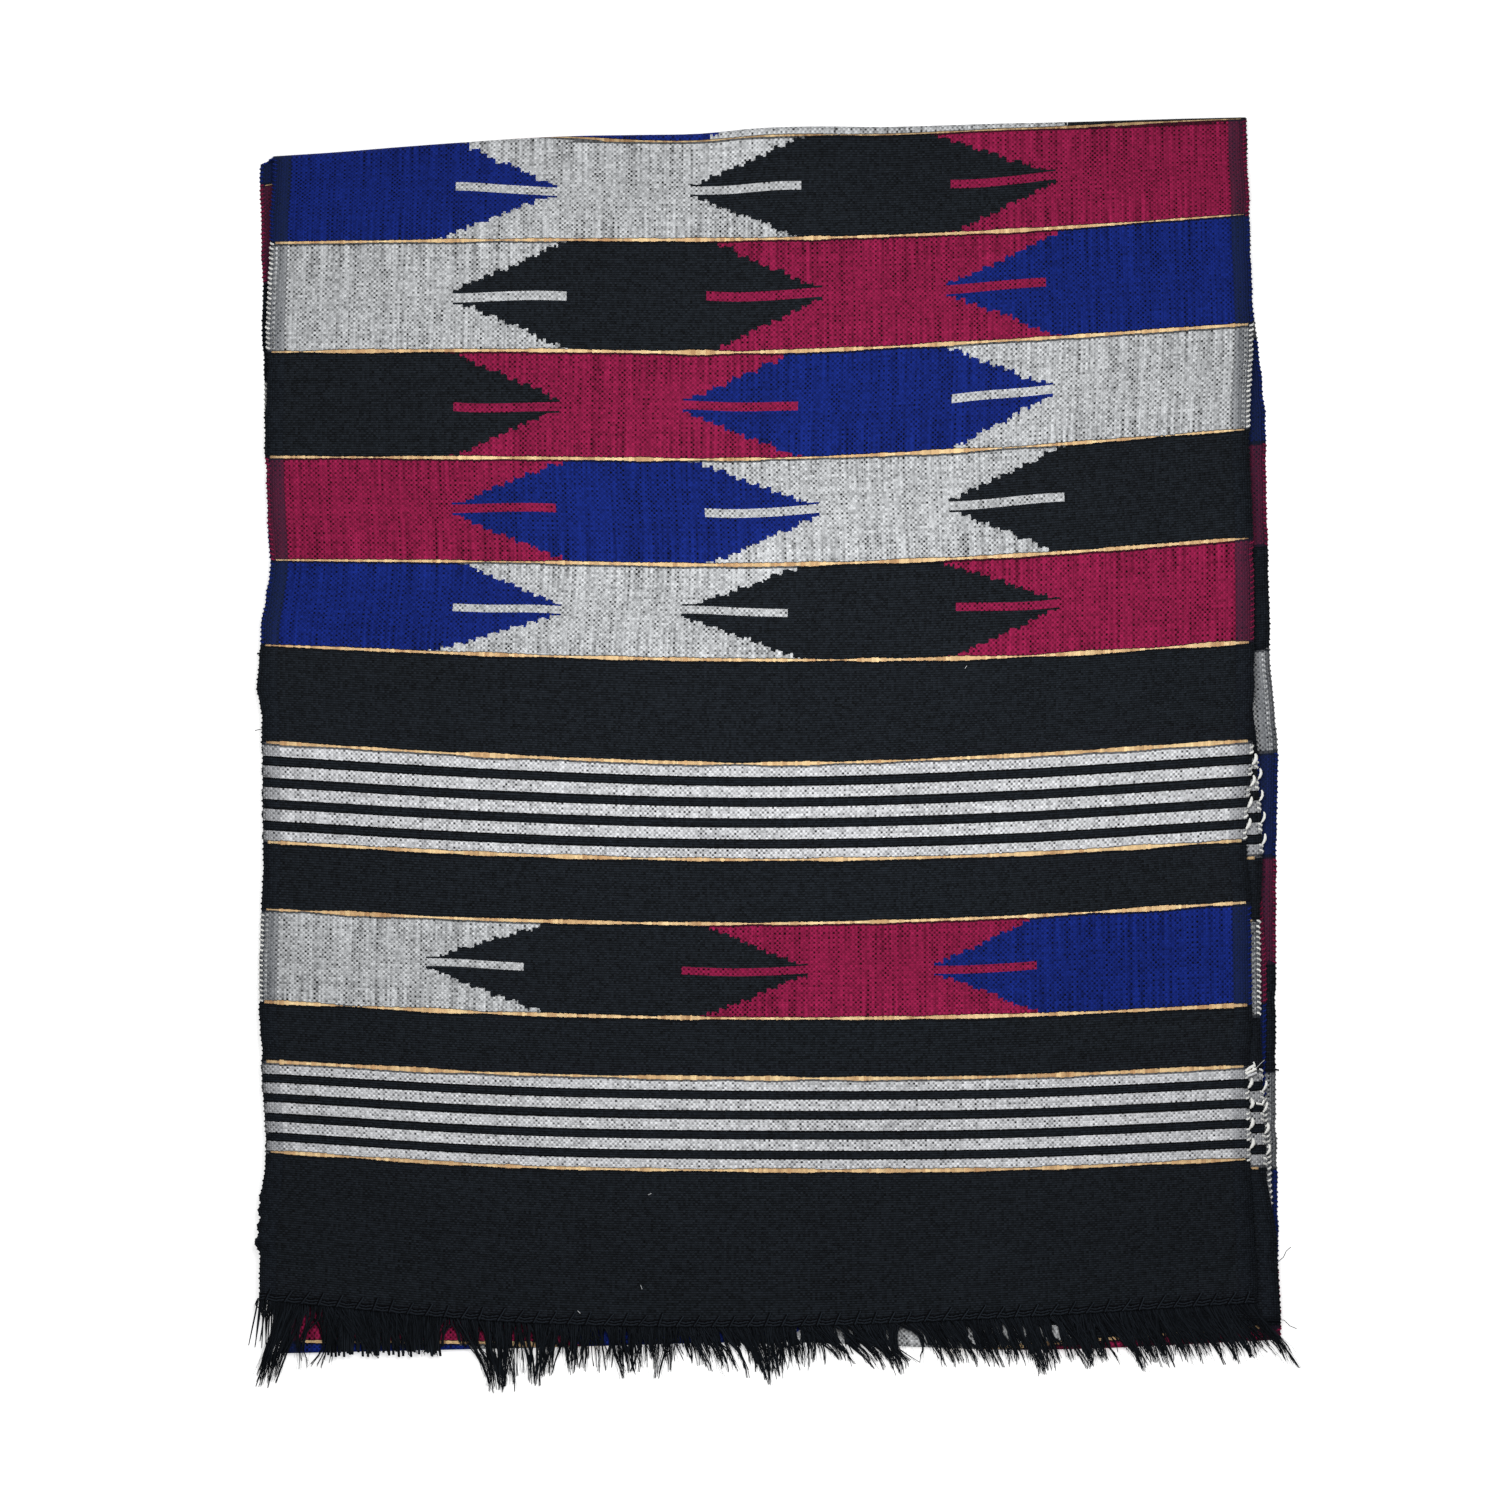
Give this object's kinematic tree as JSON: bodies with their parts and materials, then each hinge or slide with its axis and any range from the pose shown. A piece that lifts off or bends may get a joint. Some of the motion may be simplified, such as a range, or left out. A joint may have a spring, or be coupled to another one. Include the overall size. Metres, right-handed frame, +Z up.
{
  "type": "folded cotton shawl",
  "caption": "Handwoven cotton shawl folded flat into a rectangle, with bands of stepped lozenges, stripes and a cut fringe at its ends.",
  "frame": {"origin": "On the floor, under the middle of the folded shawl and its fringe.", "axes": "+Z up from the floor, +Y along the cloth towards the top fold, +X across the cloth from selvedge to selvedge."},
  "size_m": [0.5326, 0.6408, 0.0083],
  "materials": {
    "woven_cotton": "ribbed hand weave in black, blue, maroon, grey and gold",
    "fringe_yarn": "loose black cotton yarn"
  },
  "bodies": {
    "root": {"cloth": "woven_cotton", "fringe_top": "fringe_yarn", "fringe_under": "fringe_yarn"}
  },
  "joints": []
}
